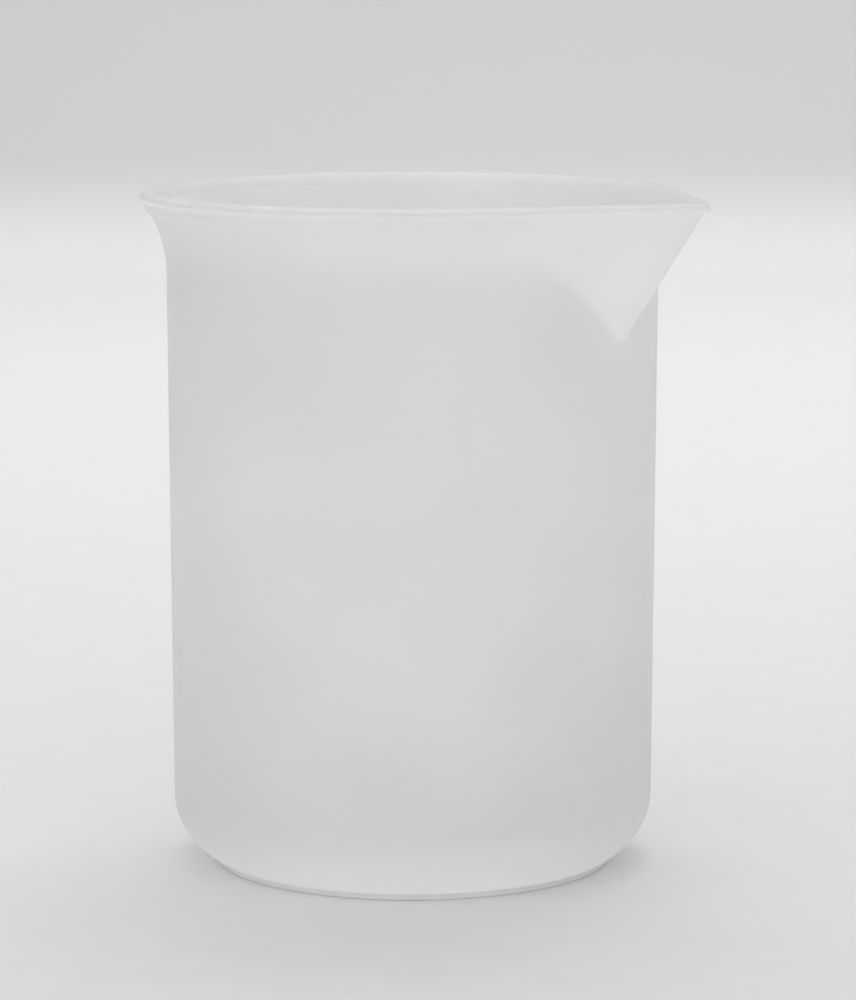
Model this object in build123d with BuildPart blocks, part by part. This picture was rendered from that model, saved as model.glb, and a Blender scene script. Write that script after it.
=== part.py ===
from build123d import *
from math import acos, asin, cos, degrees, radians, sin, sqrt, tan
import os

# A low-form pouring beaker, injection moulded in one shot in natural polypropylene.
# The beaker's axis is Z, the spout points along +X, and the origin is the middle of the
# circle that the beaker stands on.
#
# The real object is one seamless moulding, with nothing that comes off or moves. It is
# modelled as its five zones, from the foot up, each a closed solid that meets its
# neighbours face to face on flat cuts: foot_ring, base, side_wall, flared_rim and
# pouring_spout.

# ---- Driving dimensions (mm and degrees)

height = 96.0  # from the standing face to the top of the rim
wall_thickness = 1.7
body_radius = 34.75  # outside of the straight wall, at its top
draft_angle = 0.4  # the wall narrows downwards, so that the moulding leaves its core

foot_height = 1.0  # the standing ring lifts the floor clear of the bench
foot_width = 2.4
foot_inset = 0.3  # step from the heel's lower edge in to the ring
foot_edge_radius = 0.3
floor_thickness = 1.7
heel_radius = 10.0  # round corner between the wall and the floor, outside
base_land = 0.75  # straight wall that still belongs to the base, above the heel's arc

flare_depth = 11.5  # from the top of the rim down to where the wall starts to flare
flare_radius = 16.5  # arc that turns the wall outwards, outside
lip_depth = 3.5  # from the top of the rim down to the lower edge of the thickened lip
lip_step = 0.9  # how far the lip's face stands out of the flare's end
lip_step_height = 0.8
rim_radius = 38.6  # sharp outer edge of the lip, its widest point
edge_depth = 0.8  # the edge lies this far below the top of the rim
edge_height = 0.2
edge_overhang = 0.6  # the edge stands out this far beyond the lip's face
overhang_height = 0.4
crown_width = 1.5  # from the edge in to the flat land on top
lip_land = 0.4
lip_inner_rounding = 1.3

spout_reach = 48.25  # from the axis to the spout's tip
spout_depth = 19.5  # from the top of the rim down to where the keel leaves the wall
spout_nose_radius = 3.0  # rounding of the keel, outside
tip_overhang = 0.5  # the lip's edge stands out this far beyond the keel
spout_foot_margin = 1.0  # plain wall kept below the keel, in the spout's zone
spout_side_margin = 4.0  # plain wall kept on each side of the spout, in degrees
flank_inset = 0.15  # the flanks pass this far inside the lip's edge, to cut the wall cleanly

# ---- Heights and radii that follow

floor_top = foot_height + floor_thickness
inner_heel_radius = heel_radius - wall_thickness
inner_heel_centre = floor_top + inner_heel_radius
base_top = max(heel_radius, inner_heel_centre) + base_land
flare_start = height - flare_depth
flare_rise = flare_depth - lip_depth
lip_foot = height - lip_depth
edge_top = height - edge_depth
edge_foot = edge_top - edge_height
face_top = edge_foot - overhang_height
inner_edge = height - lip_inner_rounding
inner_body_radius = body_radius - wall_thickness
inner_flare_radius = flare_radius + wall_thickness
flare_centre_radius = body_radius + flare_radius
lip_foot_radius = flare_centre_radius - sqrt(flare_radius**2 - flare_rise**2)
inner_foot_radius = flare_centre_radius - sqrt(inner_flare_radius**2 - flare_rise**2)
crown_radius = rim_radius - crown_width
inner_crown_radius = crown_radius - lip_land
inner_edge_radius = inner_crown_radius - lip_inner_rounding
crown_arc_radius = (crown_width**2 + edge_depth**2) / (2 * edge_depth)


def wall_radius(z):
    """Outside radius of the drafted wall at a height below the flare."""
    return body_radius - (flare_start - z) * tan(radians(draft_angle))


def inner_wall_radius(z):
    """Inside radius of the drafted wall at a height below the flare."""
    return wall_radius(z) - wall_thickness


def on_flare(arc_radius, turn):
    """Point on a flare's arc, turned by an angle from where the wall starts to flare."""
    return (flare_centre_radius - arc_radius * cos(turn), flare_start + arc_radius * sin(turn))


def on_crown(turn):
    """Point on the crown's arc, turned outwards by an angle from the land on top."""
    return (
        crown_radius + crown_arc_radius * sin(turn),
        height - crown_arc_radius * (1 - cos(turn)),
    )


def on_inner_edge(turn):
    """Point on the rounding of the lip's inner edge, turned up by an angle."""
    return (
        inner_crown_radius - lip_inner_rounding * cos(turn),
        inner_edge + lip_inner_rounding * sin(turn),
    )


crown_turn = asin(crown_width / crown_arc_radius)
flare_turn = asin(flare_rise / flare_radius)
inner_flare_turn = asin(flare_rise / inner_flare_radius)


def rim_outside():
    """Draws the flare and the lip outside, from the wall up to the land on top."""
    lip_face_foot = (lip_foot_radius + lip_step, lip_foot + lip_step_height)
    ThreePointArc(
        on_flare(flare_radius, 0), on_flare(flare_radius, flare_turn / 2), (lip_foot_radius, lip_foot)
    )
    Polyline(
        (lip_foot_radius, lip_foot),
        lip_face_foot,
        (rim_radius - edge_overhang, face_top),
        (rim_radius, edge_foot),
        (rim_radius, edge_top),
    )
    ThreePointArc((rim_radius, edge_top), on_crown(crown_turn / 2), (crown_radius, height))


def rim_inside():
    """Draws the lip and the flare inside, from the land on top down to the wall."""
    ThreePointArc(
        (inner_crown_radius, height), on_inner_edge(radians(45)), (inner_edge_radius, inner_edge)
    )
    Line((inner_edge_radius, inner_edge), (inner_foot_radius, lip_foot))
    ThreePointArc(
        (inner_foot_radius, lip_foot),
        on_flare(inner_flare_radius, inner_flare_turn / 2),
        on_flare(inner_flare_radius, 0),
    )


# The spout is a blunt wedge, drawn once for its outside and once for its inside: two flat
# flanks that keep their direction, and the nose, a small round that slopes out on the keel.

keel_start = height - spout_depth
spout_foot = keel_start - spout_foot_margin
tip_nose = spout_nose_radius + tip_overhang
inner_nose = spout_nose_radius - wall_thickness
inner_crown_nose = inner_nose + lip_inner_rounding
crown_nose = inner_crown_nose + lip_land
keel_foot_radius = wall_radius(keel_start) - spout_nose_radius
keel_slope = (spout_reach - tip_nose - keel_foot_radius) / (edge_top - keel_start)


def nose_centre(z):
    """Distance of the nose's centre from the beaker's axis, on the sloping keel."""
    return keel_foot_radius + (min(z, edge_top) - keel_start) * keel_slope


flank_share = (rim_radius - flank_inset - tip_nose) / nose_centre(edge_top)


def flank_angle(z, circle, nose):
    """Azimuth, in radians, that a flank faces; it never leaves the wall's own circle."""
    return acos(min(flank_share, (circle - flank_inset - nose) / nose_centre(z)))


def spout_wedge(z, circle, nose):
    """The spout's section at a height, for a wall's circle and a nose radius."""
    faces = flank_angle(z, circle, nose)
    centre = nose_centre(z)
    reach = centre * cos(faces) + nose
    flank_foot = (reach * cos(faces), reach * sin(faces))
    flank_end = (centre + nose * cos(faces), nose * sin(faces))
    with BuildSketch(Plane.XY.offset(z)) as wedge:
        with BuildLine():
            Line(flank_foot, flank_end)
            ThreePointArc(flank_end, (centre + nose, 0), (flank_end[0], -flank_end[1]))
            Line((flank_end[0], -flank_end[1]), (flank_foot[0], -flank_foot[1]))
            Line((flank_foot[0], -flank_foot[1]), flank_foot)
        make_face()
    return wedge.sketch


def crown_section(share):
    """Height, circle and nose radius of the spout's outside at a share of the crown's arc."""
    circle, z = on_crown(crown_turn * (1 - share))
    return (z, circle, tip_nose + (crown_nose - tip_nose) * (rim_radius - circle) / crown_width)


def inner_edge_section(turn):
    """Height, circle and nose radius of the spout's inside on the lip's inner rounding."""
    circle, z = on_inner_edge(turn)
    return (z, circle, inner_nose + circle - inner_edge_radius)


outside_sections = [
    (spout_foot, wall_radius(spout_foot), spout_nose_radius),
    (lip_foot, lip_foot_radius, spout_nose_radius),
    (face_top, rim_radius - edge_overhang, spout_nose_radius),
    (edge_foot, rim_radius, tip_nose),
    (edge_top, rim_radius, tip_nose),
    *(crown_section(share / 3) for share in (1, 2, 3)),
]
inside_sections = [
    (spout_foot, inner_wall_radius(spout_foot), inner_nose),
    (lip_foot, inner_foot_radius, inner_nose),
    *(inner_edge_section(radians(turn)) for turn in (0, 30, 60, 90)),
]
widest_flank = max(flank_angle(*section) for section in outside_sections + inside_sections)
spout_half_angle = degrees(widest_flank) + spout_side_margin


def spout_sector(low):
    """The spout's share of a round zone: a sector about +X, drawn at a height."""
    reach = spout_reach + wall_thickness
    half_width = reach * tan(radians(spout_half_angle))
    with BuildSketch(Plane.XY.offset(low)) as sector:
        with BuildLine():
            Polyline((0, 0), (reach, -half_width), (reach, half_width), close=True)
        make_face()
    return sector.sketch


# ---- foot_ring: the narrow ring that the beaker stands on

heel_centre_radius = wall_radius(heel_radius) - heel_radius
heel_low_radius = heel_centre_radius + sqrt(heel_radius**2 - (heel_radius - foot_height) ** 2)
foot_radius = heel_low_radius - foot_inset

with BuildPart() as foot_ring:
    with BuildSketch(Plane.XZ):
        with Locations((foot_radius - foot_width, 0)):
            Rectangle(foot_width, foot_height, align=(Align.MIN, Align.MIN))
    revolve(axis=Axis.Z)
    fillet(foot_ring.edges().group_by(Axis.Z)[0], radius=foot_edge_radius)
foot_ring.part.label = "foot_ring"

# ---- base: the flat floor and the round heel that turns up into the wall

arc_middle = radians(45)
heel_low_angle = acos((heel_low_radius - heel_centre_radius) / heel_radius)
heel_middle = heel_low_angle / 2

with BuildPart() as base:
    with BuildSketch(Plane.XZ):
        with BuildLine():
            Polyline((0, floor_top), (0, foot_height), (heel_low_radius, foot_height))
            ThreePointArc(
                (heel_low_radius, foot_height),
                (
                    heel_centre_radius + heel_radius * cos(heel_middle),
                    heel_radius - heel_radius * sin(heel_middle),
                ),
                (wall_radius(heel_radius), heel_radius),
            )
            Polyline(
                (wall_radius(heel_radius), heel_radius),
                (wall_radius(base_top), base_top),
                (inner_wall_radius(base_top), base_top),
                (inner_wall_radius(inner_heel_centre), inner_heel_centre),
            )
            ThreePointArc(
                (inner_wall_radius(inner_heel_centre), inner_heel_centre),
                (
                    inner_wall_radius(inner_heel_centre) - inner_heel_radius * (1 - cos(arc_middle)),
                    inner_heel_centre - inner_heel_radius * sin(arc_middle),
                ),
                (inner_wall_radius(inner_heel_centre) - inner_heel_radius, floor_top),
            )
            Line((inner_wall_radius(inner_heel_centre) - inner_heel_radius, floor_top), (0, floor_top))
        make_face()
    revolve(axis=Axis.Z)
base.part.label = "base"

# ---- side_wall: the straight drafted wall, notched for the spout

with BuildPart() as side_wall:
    with BuildSketch(Plane.XZ):
        with BuildLine():
            Polyline(
                (wall_radius(base_top), base_top),
                (wall_radius(flare_start), flare_start),
                (inner_wall_radius(flare_start), flare_start),
                (inner_wall_radius(base_top), base_top),
                close=True,
            )
        make_face()
    revolve(axis=Axis.Z)
    extrude(spout_sector(spout_foot), amount=flare_start - spout_foot, mode=Mode.SUBTRACT)
side_wall.part.label = "side_wall"

# ---- flared_rim: the flare and its thickened lip, all round but for the spout

with BuildPart() as flared_rim:
    with BuildSketch(Plane.XZ):
        with BuildLine():
            rim_outside()
            Line((crown_radius, height), (inner_crown_radius, height))
            rim_inside()
            Line((inner_body_radius, flare_start), (body_radius, flare_start))
        make_face()
    revolve(axis=Axis.Z)
    extrude(spout_sector(flare_start), amount=flare_depth, mode=Mode.SUBTRACT)
flared_rim.part.label = "flared_rim"

# ---- pouring_spout: the wall and lip drawn out to the tip, on a rounded sloping keel

with BuildPart() as pouring_spout:
    with BuildSketch(Plane.XZ):
        with BuildLine():
            Polyline(
                (0, height),
                (0, spout_foot),
                (wall_radius(spout_foot), spout_foot),
                (body_radius, flare_start),
            )
            rim_outside()
            Line((crown_radius, height), (0, height))
        make_face()
    revolve(axis=Axis.Z)
    loft(sections=[spout_wedge(*section) for section in outside_sections], ruled=True)
    with BuildSketch(Plane.XZ):
        with BuildLine():
            Line((0, height), (inner_crown_radius, height))
            rim_inside()
            Polyline(
                (inner_body_radius, flare_start),
                (inner_wall_radius(spout_foot), spout_foot),
                (0, spout_foot),
                (0, height),
            )
        make_face()
    revolve(axis=Axis.Z, mode=Mode.SUBTRACT)
    loft(
        sections=[spout_wedge(*section) for section in inside_sections],
        ruled=True,
        mode=Mode.SUBTRACT,
    )
    extrude(spout_sector(spout_foot), amount=height - spout_foot, mode=Mode.INTERSECT)
pouring_spout.part.label = "pouring_spout"

# ---- Files

os.makedirs("parts", exist_ok=True)
for zone in (foot_ring, base, side_wall, flared_rim, pouring_spout):
    export_step(zone.part, f"parts/{zone.part.label}.step")
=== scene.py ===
"""A low-form pouring beaker, moulded in natural polypropylene, standing empty on pale paper.

The beaker is one seamless moulding, so one closed mesh stands for all the zones of the frame.
Lengths inside the classes are millimetres, and meshes are scaled to metres when they are
made. The beaker's axis is Z and its spout points along +X.
"""

import logging
import math
from dataclasses import dataclass, field
from enum import Enum
from typing import Any

import bpy
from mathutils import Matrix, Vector


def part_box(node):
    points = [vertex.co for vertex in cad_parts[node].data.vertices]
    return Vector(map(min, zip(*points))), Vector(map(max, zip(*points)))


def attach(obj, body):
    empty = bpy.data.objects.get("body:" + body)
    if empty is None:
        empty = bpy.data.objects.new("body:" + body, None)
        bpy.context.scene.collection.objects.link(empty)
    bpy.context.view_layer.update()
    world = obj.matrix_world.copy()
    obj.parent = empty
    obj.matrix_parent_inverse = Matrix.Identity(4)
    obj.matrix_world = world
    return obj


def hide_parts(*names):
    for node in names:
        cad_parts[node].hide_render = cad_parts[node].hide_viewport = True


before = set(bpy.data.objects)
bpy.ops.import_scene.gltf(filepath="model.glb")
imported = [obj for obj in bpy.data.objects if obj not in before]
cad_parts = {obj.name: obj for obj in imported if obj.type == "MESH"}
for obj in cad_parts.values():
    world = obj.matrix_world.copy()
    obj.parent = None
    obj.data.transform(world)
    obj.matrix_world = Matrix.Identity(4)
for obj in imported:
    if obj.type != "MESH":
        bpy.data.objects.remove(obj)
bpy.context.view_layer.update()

MM = 0.001
Point = tuple[float, float]
log = logging.getLogger("beaker")


class Face(Enum):
    """The moulding's surfaces, named for what formed or wore them."""

    CAVITY = 0
    LIP = 1
    CORE = 2
    STANDING = 3


def linear(hex_colour: str) -> tuple[float, float, float, float]:
    """Turn an sRGB hex colour into the linear colour that shaders use.

    Args:
        hex_colour: six hex digits, with no leading mark.

    Returns:
        Linear red, green and blue, and an alpha of 1.
    """
    parts = [int(hex_colour[i : i + 2], 16) / 255 for i in (0, 2, 4)]
    red, green, blue = [c / 12.92 if c <= 0.04045 else ((c + 0.055) / 1.055) ** 2.4 for c in parts]
    return red, green, blue, 1.0


def add_node(
    tree: bpy.types.NodeTree,
    kind: str,
    inputs: dict[str | int, Any] | None = None,
    **settings: Any,
) -> bpy.types.Node:
    """Add a shader node, set it up and link it.

    Args:
        tree: the node tree that gets the node.
        kind: the node's type name, such as "ShaderNodeBump".
        inputs: values by input name or number; a socket is linked, anything else is set.
        settings: the node's own properties.

    Returns:
        The new node.
    """
    node = tree.nodes.new(kind)
    for name, value in settings.items():
        setattr(node, name, value)
    for name, value in (inputs or {}).items():
        socket = node.inputs[name]
        if isinstance(value, bpy.types.NodeSocket):
            tree.links.new(value, socket)
        else:
            socket.default_value = value
    return node


def per_mm(size: float) -> float:
    """Texture scale at which one cell of a pattern is this many millimetres across."""
    return 1.0 / (size * MM)


@dataclass(frozen=True)
class MouldedPolypropylene:
    """Natural, unpigmented polypropylene, injection moulded.

    Its crystals scatter light inside the wall and absorb almost none, so it looks milky and
    even, glows where light reaches its far side and throws only a faint shadow. The mould's
    surface gives the soft sheen.
    """

    name: str
    roughness: float
    grain_height_mm: float
    through: float  # share of the light that the surface scatters inwards
    clear: float  # how much of the rest goes straight on, blurred by the surface
    grain_mm: float = 0.8  # the mould's surface texture
    colour: str = "FFFFFF"
    mottle_colour: str = "FCFCFC"  # faint clouds, where the melt cooled unevenly
    mottle_mm: float = 14.0
    mottle_edges: tuple[float, float] = (0.3, 0.7)  # noise where a cloud is full, and faded
    sheen_change: float = 0.03  # how far the clouds move the roughness up and down
    ior: float = 1.3  # solid polypropylene has 1.49; a milky wall bends light less clearly

    def build(self) -> bpy.types.Material:
        """Make the material's nodes.

        Returns:
            The material.
        """
        material = bpy.data.materials.new(self.name)
        material.use_nodes = True
        tree = material.node_tree
        tree.nodes.clear()
        place = add_node(tree, "ShaderNodeTexCoord").outputs["Object"]
        clouds = add_node(
            tree,
            "ShaderNodeTexNoise",
            {"Vector": place, "Scale": per_mm(self.mottle_mm), "Detail": 2.0, "Roughness": 0.5},
        ).outputs["Fac"]
        tint = add_node(tree, "ShaderNodeValToRGB", {"Fac": clouds})
        colours = (self.mottle_colour, self.colour)
        for stop, position, colour in zip(tint.color_ramp.elements, self.mottle_edges, colours):
            stop.position = position
            stop.color = linear(colour)
        sheen = add_node(
            tree,
            "ShaderNodeMapRange",
            {
                "Value": clouds,
                "To Min": self.roughness - self.sheen_change,
                "To Max": self.roughness + self.sheen_change,
            },
        )
        grain = add_node(
            tree,
            "ShaderNodeTexNoise",
            {"Vector": place, "Scale": per_mm(self.grain_mm), "Detail": 3.0, "Roughness": 0.6},
        )
        bump = add_node(
            tree,
            "ShaderNodeBump",
            {"Height": grain.outputs["Fac"], "Distance": self.grain_height_mm * MM},
        )
        surface = add_node(
            tree,
            "ShaderNodeBsdfPrincipled",
            {
                "Base Color": tint.outputs["Color"],
                "Roughness": sheen.outputs["Result"],
                "IOR": self.ior,
                "Normal": bump.outputs["Normal"],
                "Transmission Weight": self.clear,
            },
        )
        scatter = add_node(
            tree,
            "ShaderNodeBsdfTranslucent",
            {"Color": tint.outputs["Color"], "Normal": bump.outputs["Normal"]},
        )
        milky = add_node(
            tree,
            "ShaderNodeMixShader",
            {"Fac": self.through, 1: surface.outputs["BSDF"], 2: scatter.outputs["BSDF"]},
        )
        add_node(tree, "ShaderNodeOutputMaterial", {"Surface": milky.outputs["Shader"]})
        return material


@dataclass(frozen=True)
class BackgroundPaper:
    """Uncoated paper from a roll: matt and white, with painted shade that greys it where it hangs.

    It gives the eye an even pale floor, and the painted shade gives a slightly darker background
    above it.
    """

    name: str = "uncoated background paper with painted shade"
    colour: str = "EFEFEF"
    fibre_colour: str = "EBEBEB"
    # painted shade: the grey that the paper turns to where it hangs, standing in for shade on the
    # background
    painted_shade_colour: str = "D6D6D6"
    painted_shade_from: float = 0.005  # metres above the floor
    painted_shade_to: float = 0.04
    fibre_mm: float = 9.0  # real fibre is far finer; drawn this coarse so that it shows
    roughness: float = 0.9

    def build(self) -> bpy.types.Material:
        """Make the paper's nodes.

        Returns:
            The material.
        """
        material = bpy.data.materials.new(self.name)
        material.use_nodes = True
        tree = material.node_tree
        tree.nodes.clear()
        place = add_node(tree, "ShaderNodeTexCoord").outputs["Object"]
        fibre = add_node(
            tree,
            "ShaderNodeTexNoise",
            {"Vector": place, "Scale": per_mm(self.fibre_mm), "Detail": 4.0},
        )
        tint = add_node(tree, "ShaderNodeValToRGB", {"Fac": fibre.outputs["Fac"]})
        tint.color_ramp.elements[0].color = linear(self.fibre_colour)
        tint.color_ramp.elements[1].color = linear(self.colour)
        # Painted shade: the paper is mixed towards the grey as it rises from the floor, darkening
        # the background.
        height = add_node(tree, "ShaderNodeSeparateXYZ", {"Vector": place})
        painted_shade_fade = add_node(
            tree,
            "ShaderNodeMapRange",
            {"Value": height.outputs["Z"], "From Min": self.painted_shade_from, "From Max": self.painted_shade_to},
            interpolation_type="SMOOTHSTEP",
        )
        paper_with_painted_shade = add_node(
            tree,
            "ShaderNodeMixRGB",
            {
                "Fac": painted_shade_fade.outputs["Result"],
                "Color1": tint.outputs["Color"],
                "Color2": linear(self.painted_shade_colour),
            },
        )
        surface = add_node(
            tree,
            "ShaderNodeBsdfPrincipled",
            {
                "Base Color": paper_with_painted_shade.outputs["Color"],
                "Roughness": self.roughness,
                "Specular IOR Level": 0.2,
            },
        )
        add_node(tree, "ShaderNodeOutputMaterial", {"Surface": surface.outputs["BSDF"]})
        return material


def arc(centre: Point, radius: float, start: float, end: float, steps: int) -> list[Point]:
    """Points along an arc in the profile's plane.

    Args:
        centre: radius and height of the arc's centre.
        radius: the arc's own radius.
        start: first angle in degrees, 0 pointing outwards and 90 up.
        end: last angle.
        steps: number of steps, so one more point than this.

    Returns:
        Radius and height of each point.
    """
    angles = [math.radians(start + (end - start) * i / steps) for i in range(steps + 1)]
    return [(centre[0] + radius * math.cos(a), centre[1] + radius * math.sin(a)) for a in angles]


def line(start: Point, end: Point, steps: int) -> list[Point]:
    """Points along a straight stretch of the profile, both ends included.

    Args:
        start: radius and height of the first point.
        end: radius and height of the last point.
        steps: number of steps, so one more point than this.

    Returns:
        Radius and height of each point.
    """
    shares = [i / steps for i in range(steps + 1)]
    return [tuple(a + (b - a) * share for a, b in zip(start, end)) for share in shares]


def levels(start: float, end: float, steps: int) -> list[float]:
    """Evenly spaced heights from one to another, both included."""
    return [z for _, z in line((0, start), (0, end), steps)]


def rounded(points: list[Point], cuts: tuple[float, ...], steps: int) -> list[Point]:
    """Points along a bent line whose corners are eased.

    Args:
        points: the line's ends and corners.
        cuts: how far each corner is cut back along both of its sides.
        steps: number of steps round each corner.

    Returns:
        Radius and height of each point, both ends included.
    """
    eased = [points[0]]
    for before, corner, after, cut in zip(points, points[1:], points[2:], cuts):
        middle = Vector(corner)
        enter = middle + (Vector(before) - middle).normalized() * cut
        leave = middle + (Vector(after) - middle).normalized() * cut
        for step in range(steps + 1):
            share = step / steps
            bend = enter.lerp(middle, share).lerp(middle.lerp(leave, share), share)
            eased.append((bend.x, bend.y))
    return [*eased, points[-1]]


@dataclass(frozen=True)
class Ring:
    """One turn of the beaker's surface: the wall's circle, and the spout's nose on it."""

    radius: float
    z: float
    nose: float
    face: Face


@dataclass
class BeakerMoulding:
    """The whole beaker: standing ring, base, side wall, flared rim and pouring spout.

    Sizes that the frame's boxes show are read from them; the rest are the moulding's own.
    """

    name: str = "beaker_moulding"
    height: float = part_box("flared_rim")[1].z / MM
    rim_radius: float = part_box("flared_rim")[1].y / MM
    body_radius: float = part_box("side_wall")[1].y / MM
    flare_start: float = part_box("side_wall")[1].z / MM
    base_top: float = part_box("base")[1].z / MM
    foot_height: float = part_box("foot_ring")[1].z / MM
    foot_radius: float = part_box("foot_ring")[1].y / MM
    spout_reach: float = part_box("pouring_spout")[1].x / MM
    spout_foot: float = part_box("pouring_spout")[0].z / MM

    wall: float = 1.7
    draft: float = 0.4  # degrees
    floor: float = 1.7
    heel_radius: float = 10.0
    foot_width: float = 2.4
    foot_edge: float = 0.3
    flare_radius: float = 16.5
    lip_depth: float = 3.5
    lip_step: float = 0.9
    lip_step_height: float = 0.8
    edge_depth: float = 0.8
    edge_height: float = 0.2
    edge_overhang: float = 0.6
    overhang_height: float = 0.4
    crown_width: float = 1.5
    lip_land: float = 0.4
    lip_inner_edge: float = 1.3
    spout_foot_margin: float = 1.0  # plain wall in the spout's zone, below its keel
    nose: float = 3.0
    tip_overhang: float = 0.5
    flank_inset: float = 0.15
    crease: float = 0.5  # how softly the flanks run into the wall
    recess_fillet: float = 0.2
    ring_easing: float = 0.25  # corner between the heel and the standing ring
    lip_easing: tuple[float, ...] = (0.3, 0.45, 0.25, 0.08, 0.06)  # the lip's corners, upwards

    # The mesh: columns round the axis, and steps along each stretch of the section.
    spout_half_angle: float = 45.0  # part of the circle that gets closely set columns
    spout_columns: int = 144
    round_columns: int = 160
    even_share: float = 0.2  # how evenly the spout's columns are spaced, 1 being wholly even
    middle_radius: float = 1.5  # the smallest ring of the floor and of the recess
    corner_steps: int = 4
    edge_steps: int = 5
    flat_steps: int = 6
    floor_steps: int = 8
    core_heel_steps: int = 18
    cavity_heel_steps: int = 22
    wall_steps: int = 24  # below the spout
    keel_steps: int = 26  # beside the spout's keel
    flare_steps: int = 24
    face_steps: int = 6
    lip_steps: int = 10

    @property
    def lip_foot(self) -> float:
        """Height where the lip's thickening starts."""
        return self.height - self.lip_depth

    @property
    def edge_top(self) -> float:
        """Height of the lip's sharp outer edge."""
        return self.height - self.edge_depth

    @property
    def face_top(self) -> float:
        """Height where the lip's face ends, under the edge."""
        return self.edge_top - self.edge_height - self.overhang_height

    @property
    def crown_radius(self) -> float:
        """Radius where the lip becomes level on top."""
        return self.rim_radius - self.crown_width

    @property
    def inner_edge_radius(self) -> float:
        """Inside radius of the lip, below its rounding."""
        return self.crown_radius - self.lip_land - self.lip_inner_edge

    def wall_radius(self, z: float) -> float:
        """Outside radius of the drafted wall at a height."""
        return self.body_radius - (self.flare_start - z) * math.tan(math.radians(self.draft))

    def nose_centre(self, z: float) -> float:
        """Distance from the axis to the middle of the spout's rounded nose.

        Args:
            z: height above the bench.

        Returns:
            The distance, growing along the keel's slope up to the lip's edge.
        """
        keel_start = self.spout_foot + self.spout_foot_margin
        start = self.wall_radius(keel_start) - self.nose
        tip = self.spout_reach - self.nose - self.tip_overhang
        share = (min(z, self.edge_top) - keel_start) / (self.edge_top - keel_start)
        return start + (tip - start) * share

    def outline(self, azimuth: float, ring: Ring) -> float:
        """Distance from the axis to the surface: the wall's circle, or the spout's wedge.

        Args:
            azimuth: angle from the spout's direction, in radians.
            ring: the turn of the surface.

        Returns:
            The distance at this azimuth, with the crease between the two eased.
        """
        away = abs(azimuth)
        if ring.z < self.spout_foot or away > math.radians(self.spout_half_angle):
            return ring.radius
        centre = self.nose_centre(ring.z)
        widest = self.rim_radius - self.flank_inset - self.nose - self.tip_overhang
        at_lip = widest / self.nose_centre(self.edge_top)
        flank = math.acos(min(at_lip, (ring.radius - self.flank_inset - ring.nose) / centre))
        nose_end = math.atan2(ring.nose * math.sin(flank), centre + ring.nose * math.cos(flank))
        if away <= nose_end:
            across = centre * math.sin(away)
            wedge = centre * math.cos(away) + math.sqrt(ring.nose**2 - across**2)
        else:
            wedge = (centre * math.cos(flank) + ring.nose) / math.cos(flank - away)
        overlap = max(self.crease - abs(wedge - ring.radius), 0)
        return max(wedge, ring.radius) + overlap**2 / (4 * self.crease)

    def azimuths(self) -> list[float]:
        """Azimuth of each column of the mesh, closest together on the spout's nose.

        Returns:
            Angles in radians, going once round from the spout's far side.
        """
        half = math.radians(self.spout_half_angle)
        even, crowded = self.even_share, 1 - self.even_share
        shares = [2 * i / self.spout_columns - 1 for i in range(self.spout_columns)]
        spout = [half * (even * share + crowded * share**3) for share in shares]
        step = (2 * math.pi - 2 * half) / self.round_columns
        return spout + [half + step * i for i in range(self.round_columns)]

    def underside(self) -> list[Ring]:
        """Trace the recess and the standing ring.

        Returns:
            Their rings, from the middle outwards.
        """
        inner, outer, edge = self.foot_radius - self.foot_width, self.foot_radius, self.foot_edge
        top, fillet = self.foot_height, self.recess_fillet
        points = [
            *line((self.middle_radius, top), (inner - fillet, top), self.flat_steps),
            *arc((inner - fillet, top - fillet), fillet, 90, 0, self.corner_steps)[1:],
            *arc((inner + edge, edge), edge, 180, 270, self.edge_steps),
            *arc((outer - edge, edge), edge, 270, 360, self.edge_steps),
        ]
        return [Ring(radius, z, self.nose, Face.STANDING) for radius, z in points]

    def outer_wall(self) -> list[Ring]:
        """Trace the outside from the top of the standing ring, round the heel and up the wall.

        Returns:
            Its rings, upwards.
        """
        centre = self.wall_radius(self.heel_radius) - self.heel_radius
        drop = self.heel_radius - self.foot_height
        low = math.degrees(math.asin(drop / self.heel_radius))
        easing = self.ring_easing
        turn = (self.foot_radius + easing, self.foot_height - easing)
        corner = arc(turn, easing, 180, 90, self.corner_steps)
        heights = [
            *levels(self.base_top, self.spout_foot, self.wall_steps),
            *levels(self.spout_foot, self.flare_start, self.keel_steps)[1:],
        ]
        points = [
            *arc((centre, self.heel_radius), self.heel_radius, -low, 0, self.cavity_heel_steps),
            *((self.wall_radius(z), z) for z in heights),
        ]
        return [
            *(Ring(radius, z, self.nose, Face.STANDING) for radius, z in corner),
            *(Ring(radius, z, self.nose, Face.CAVITY) for radius, z in points),
        ]

    def outer_rim(self) -> list[Ring]:
        """Trace the flare and the lip's face outside, up to its sharp edge.

        Returns:
            Their rings, upwards. Above the face the spout's nose grows with the overhang.
        """
        flare_centre = (self.body_radius + self.flare_radius, self.flare_start)
        turn = math.degrees(math.asin((self.lip_foot - self.flare_start) / self.flare_radius))
        flare = arc(flare_centre, self.flare_radius, 180, 180 - turn, self.flare_steps)
        step_radius, step_foot = flare[-1]
        face_radius = self.rim_radius - self.edge_overhang
        face = [
            *flare[-2:],
            (step_radius + self.lip_step, step_foot + self.lip_step_height),
            (face_radius, self.face_top),
            (self.rim_radius, self.edge_top - self.edge_height),
            (self.rim_radius, self.edge_top),
            self.crown()[1],
        ]
        rings: list[Ring] = []
        for radius, z in [*flare[1:-2], *rounded(face, self.lip_easing, self.face_steps)]:
            out = max(radius - face_radius, 0) / self.edge_overhang if z > self.face_top else 0
            rings.append(Ring(radius, z, self.nose + self.tip_overhang * out, Face.CAVITY))
        return rings

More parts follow.
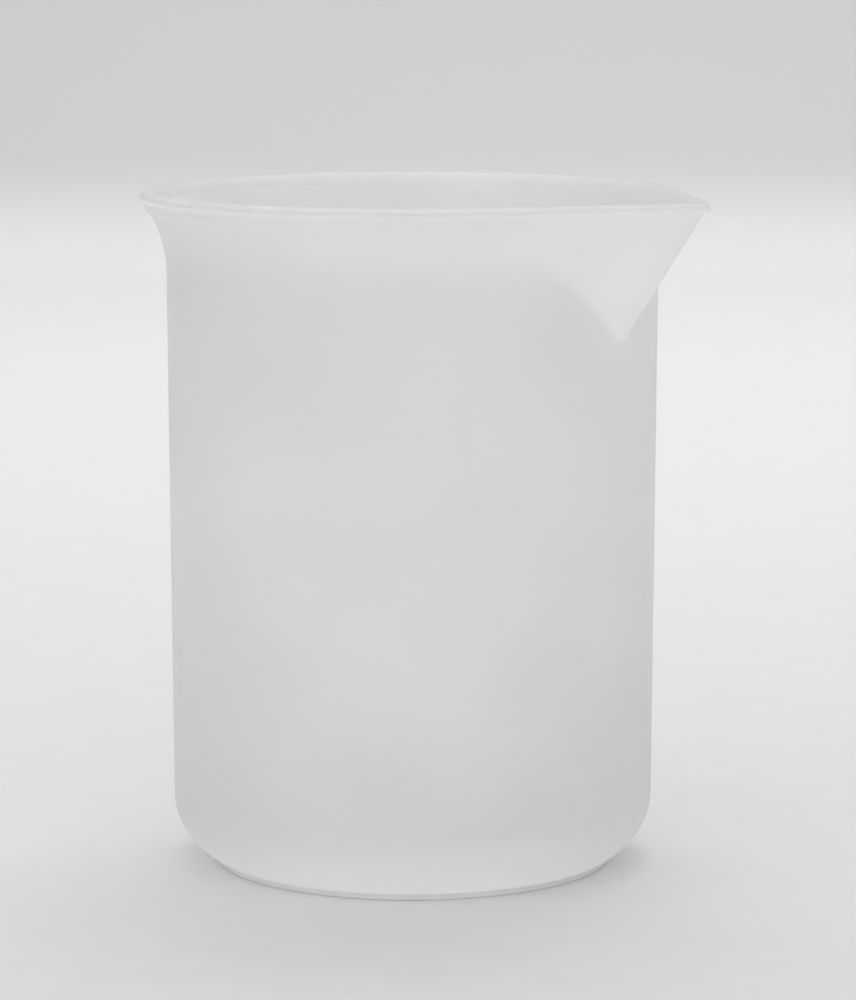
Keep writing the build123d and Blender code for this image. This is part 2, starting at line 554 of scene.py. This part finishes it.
    def crown(self) -> list[Point]:
        """Trace the bowed crown's section.

        Returns:
            Radius and height of each point, from the lip's sharp edge to its highest point.
        """
        width, drop = self.crown_width, self.edge_depth
        bow = (width**2 + drop**2) / (2 * drop)
        tilt = math.degrees(math.asin(width / bow))
        return arc((self.crown_radius, self.height - bow), bow, 90 - tilt, 90, self.lip_steps)

    def lip(self) -> list[Ring]:
        """Trace the lip from its crown over the rounded inner edge.

        Returns:
            Its rings, inwards. The spout's nose shrinks on the way to that of the inside.
        """
        inner = (self.crown_radius - self.lip_land, self.height - self.lip_inner_edge)
        inner_nose = self.nose - self.wall
        crown_nose = inner_nose + self.lip_inner_edge + self.lip_land
        edge_nose = self.nose + self.tip_overhang
        rings: list[Ring] = []
        for radius, z in self.crown()[2:]:
            share = (radius - self.crown_radius) / self.crown_width
            nose = crown_nose + (edge_nose - crown_nose) * share
            rings.append(Ring(radius, z, nose, Face.LIP))
        for radius, z in arc(inner, self.lip_inner_edge, 90, 180, self.lip_steps):
            nose = inner_nose + radius - self.inner_edge_radius
            rings.append(Ring(radius, z, nose, Face.LIP))
        return rings

    def inside(self) -> list[Ring]:
        """Trace the core side, from the lip down the wall and round the heel to the floor.

        Returns:
            Its rings, downwards and inwards.
        """
        flare_centre = (self.body_radius + self.flare_radius, self.flare_start)
        flare_radius = self.flare_radius + self.wall
        turn = math.degrees(math.asin((self.lip_foot - self.flare_start) / flare_radius))
        flare = arc(flare_centre, flare_radius, 180 - turn, 180, self.flare_steps)
        lip_low = (self.inner_edge_radius, self.height - self.lip_inner_edge)
        floor_top = self.foot_height + self.floor
        heel = self.heel_radius - self.wall
        heights = [
            *levels(self.flare_start, self.spout_foot, self.keel_steps)[1:],
            *levels(self.spout_foot, floor_top + heel, self.wall_steps)[1:],
        ]
        wall = [(self.wall_radius(z) - self.wall, z) for z in heights]
        centre = (wall[-1][0] - heel, floor_top + heel)
        points = [
            *line(lip_low, flare[0], self.flat_steps)[1:-1],
            *flare,
            *wall,
            *arc(centre, heel, 360, 270, self.core_heel_steps)[1:],
            *line((centre[0], floor_top), (self.middle_radius, floor_top), self.floor_steps)[1:],
        ]
        return [Ring(radius, z, self.nose - self.wall, Face.CORE) for radius, z in points]

    def build(self, finishes: dict[Face, bpy.types.Material]) -> bpy.types.Object:
        """Make the closed mesh and dress it.

        Args:
            finishes: the material of each surface.

        Returns:
            The beaker.
        """
        rings = [
            *self.underside(), *self.outer_wall(), *self.outer_rim(), *self.lip(), *self.inside()
        ]
        azimuths = self.azimuths()
        count = len(azimuths)
        vertices = [
            Vector((math.cos(a), math.sin(a), 0)) * self.outline(a, ring) * MM
            + Vector((0, 0, ring.z * MM))
            for ring in rings
            for a in azimuths
        ]
        faces: list[tuple[int, ...]] = []
        surfaces: list[Face] = []
        for row, ring in enumerate(rings[:-1]):
            for column in range(count):
                here, beside = row * count + column, row * count + (column + 1) % count
                faces.append((here, beside, beside + count, here + count))
                surfaces.append(ring.face)
        for row in (0, len(rings) - 1):
            middle = len(vertices)
            vertices.append(Vector((0, 0, rings[row].z * MM)))
            for column in range(count):
                here, beside = row * count + column, row * count + (column + 1) % count
                faces.append((beside, here, middle) if row == 0 else (here, beside, middle))
                surfaces.append(rings[row].face)
        mesh = bpy.data.meshes.new(self.name)
        mesh.from_pydata(vertices, [], faces)
        for face in Face:
            mesh.materials.append(finishes[face])
        mesh.polygons.foreach_set("material_index", [face.value for face in surfaces])
        mesh.shade_smooth()
        mesh.validate()
        beaker = bpy.data.objects.new(self.name, mesh)
        bpy.context.scene.collection.objects.link(beaker)
        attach(beaker, "root")
        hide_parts("foot_ring", "base", "side_wall", "flared_rim", "pouring_spout")
        log.info("%s: %d rings of %d columns", self.name, len(rings), count)
        return beaker


@dataclass
class Studio:
    """Paper sweep, room light, soft lamps and camera, in metres and degrees."""

    camera_azimuth: float = 34.45  # from straight in front, towards the spout
    camera_distance: float = 0.5934
    camera_height: float = 0.1380
    camera_pitch: float = 8.277
    camera_yaw: float = 0.212
    lens: float = 151.34
    sweep_width: float = 5.0
    sweep_front: float = 2.5
    sweep_back: float = 0.85
    sweep_radius: float = 0.35
    sweep_height: float = 1.2
    sweep_steps: tuple[int, int, int] = (12, 24, 4)  # along the bench, the curve and the wall
    ambient: float = 0.9  # room light from before, behind and above
    sides: float = 0.18  # room light from the left and the right
    paper: BackgroundPaper = field(default_factory=BackgroundPaper)

    def direction(self, azimuth: float) -> Vector:
        """Level unit vector towards the camera, turned to the right by some degrees."""
        turn = math.radians(self.camera_azimuth + azimuth)
        return Vector((math.sin(turn), -math.cos(turn), 0))

    def build_sweep(self) -> None:
        """Lay the paper on the bench and curve it up behind the beaker."""
        flat_steps, curve_steps, wall_steps = self.sweep_steps
        flat = line((-self.sweep_front, 0), (self.sweep_back, 0), flat_steps)
        curve = arc((self.sweep_back, self.sweep_radius), self.sweep_radius, -90, 0, curve_steps)
        back = self.sweep_back + self.sweep_radius
        hanging = line((back, self.sweep_radius), (back, self.sweep_height), wall_steps)
        profile = [*flat, *curve[1:], *hanging[1:]]
        sides = (-self.sweep_width / 2, 0.0, self.sweep_width / 2)
        vertices = [self.spot(x, y, z) for y, z in profile for x in sides]
        count = len(sides)
        corners = [
            row * count + side for row in range(len(profile) - 1) for side in range(count - 1)
        ]
        faces = [(here, here + 1, here + count + 1, here + count) for here in corners]
        mesh = bpy.data.meshes.new("paper_sweep")
        mesh.from_pydata(vertices, [], faces)
        mesh.materials.append(self.paper.build())
        mesh.shade_smooth()
        sweep = bpy.data.objects.new("paper_sweep", mesh)
        bpy.context.scene.collection.objects.link(sweep)
        log.info("paper_sweep: %d rows", len(profile))

    def spot(self, right: float, away: float, up: float) -> Vector:
        """Place in the frame, from metres right of, beyond and above the beaker's foot."""
        return self.direction(90) * right - self.direction(0) * away + Vector((0, 0, up))

    def add_lamp(
        self, name: str, place: Vector, aim: Vector, size: float, spread: float, watts: float
    ) -> None:
        """Hang a soft square lamp.

        Args:
            name: the lamp's name.
            place: the middle of its face.
            aim: the place that it faces.
            size: edge of its face.
            spread: full angle of its beam, as a grid over its face would set it.
            watts: its power.
        """
        data = bpy.data.lights.new(name, "AREA")
        data.shape = "SQUARE"
        data.size = size
        data.spread = math.radians(spread)
        data.energy = watts
        lamp = bpy.data.objects.new(name, data)
        lamp.location = place
        lamp.rotation_mode = "QUATERNION"
        lamp.rotation_quaternion = (place - aim).to_track_quat("Z", "Y")
        bpy.context.scene.collection.objects.link(lamp)
        log.info("%s: %g W", name, watts)

    def light(self) -> None:
        """Set the room light, dimmer from both sides, and the lamps."""
        world = bpy.data.worlds.new("room_light")
        world.use_nodes = True
        tree = world.node_tree
        tree.nodes.clear()
        towards = add_node(tree, "ShaderNodeTexCoord").outputs["Generated"]
        aside = add_node(
            tree,
            "ShaderNodeVectorMath",
            {0: towards, 1: self.direction(90)},
            operation="DOT_PRODUCT",
        ).outputs["Value"]
        square = add_node(tree, "ShaderNodeMath", {0: aside, 1: aside}, operation="MULTIPLY")
        strength = add_node(
            tree,
            "ShaderNodeMapRange",
            {"Value": square.outputs["Value"], "To Min": self.ambient, "To Max": self.sides},
        )
        sky = add_node(
            tree,
            "ShaderNodeBackground",
            {"Color": linear("FFFFFF"), "Strength": strength.outputs["Result"]},
        )
        add_node(tree, "ShaderNodeOutputWorld", {"Surface": sky.outputs["Background"]})
        bpy.context.scene.world = world
        self.add_lamp(
            "back_softbox",
            place=self.spot(0.08, 0.6, 1.0),
            aim=self.spot(0.08, 0.6, 0),
            size=0.8,
            spread=110,
            watts=1.7,
        )
        self.add_lamp(
            "left_softbox",
            place=self.spot(-0.7, -0.2, 0.5),
            aim=self.spot(0, 0, 0.04),
            size=0.5,
            spread=120,
            watts=0.2,
        )

    def place_camera(self) -> None:
        """Set the camera in front of the beaker, a little above the rim."""
        data = bpy.data.cameras.new("camera")
        data.lens = self.lens
        data.clip_start = 0.01
        data.clip_end = 20.0
        camera = bpy.data.objects.new("camera", data)
        camera.location = self.direction(0) * self.camera_distance
        camera.location.z = self.camera_height
        camera.rotation_euler = (
            math.radians(90 - self.camera_pitch),
            0.0,
            math.radians(self.camera_azimuth - self.camera_yaw),
        )
        bpy.context.scene.collection.objects.link(camera)
        bpy.context.scene.camera = camera
        bpy.context.scene.view_settings.view_transform = "Standard"


def main() -> None:
    """Build the beaker and the studio round it."""
    logging.basicConfig(level=logging.INFO, format="%(name)s: %(message)s")
    # Soft satin from the textured cavity: broad, dull highlights on the wall and the heel.
    cavity_side = MouldedPolypropylene(
        name="moulded natural polypropylene, satin outside",
        roughness=0.42,
        grain_height_mm=0.01,
        through=0.77,
        clear=1.0,
    )
    # Slightly smoother from the core: the inside looks as milky, and a touch brighter.
    core_side = MouldedPolypropylene(
        name="moulded natural polypropylene, smooth inside",
        roughness=0.36,
        grain_height_mm=0.006,
        through=0.77,
        clear=1.0,
    )
    # Thick and polished at the mould's parting face: a whiter band with narrow bright lines.
    lip = MouldedPolypropylene(
        name="moulded natural polypropylene, polished lip",
        roughness=0.22,
        grain_height_mm=0.003,
        through=0.6,
        clear=0.3,
    )
    # Solid and scuffed by benches: the ring looks whiter and duller than the wall above it.
    standing = MouldedPolypropylene(
        name="moulded natural polypropylene, scuffed standing ring",
        colour="FEFEFE",
        mottle_colour="F8F8F8",
        mottle_mm=2.5,
        roughness=0.5,
        grain_mm=0.5,
        grain_height_mm=0.02,
        through=0.15,
        clear=0.0,
    )
    finishes = {
        Face.CAVITY: cavity_side.build(),
        Face.LIP: lip.build(),
        Face.CORE: core_side.build(),
        Face.STANDING: standing.build(),
    }
    BeakerMoulding().build(finishes)
    studio = Studio()
    studio.build_sweep()
    studio.light()
    studio.place_camera()


if __name__ == "__main__":
    main()
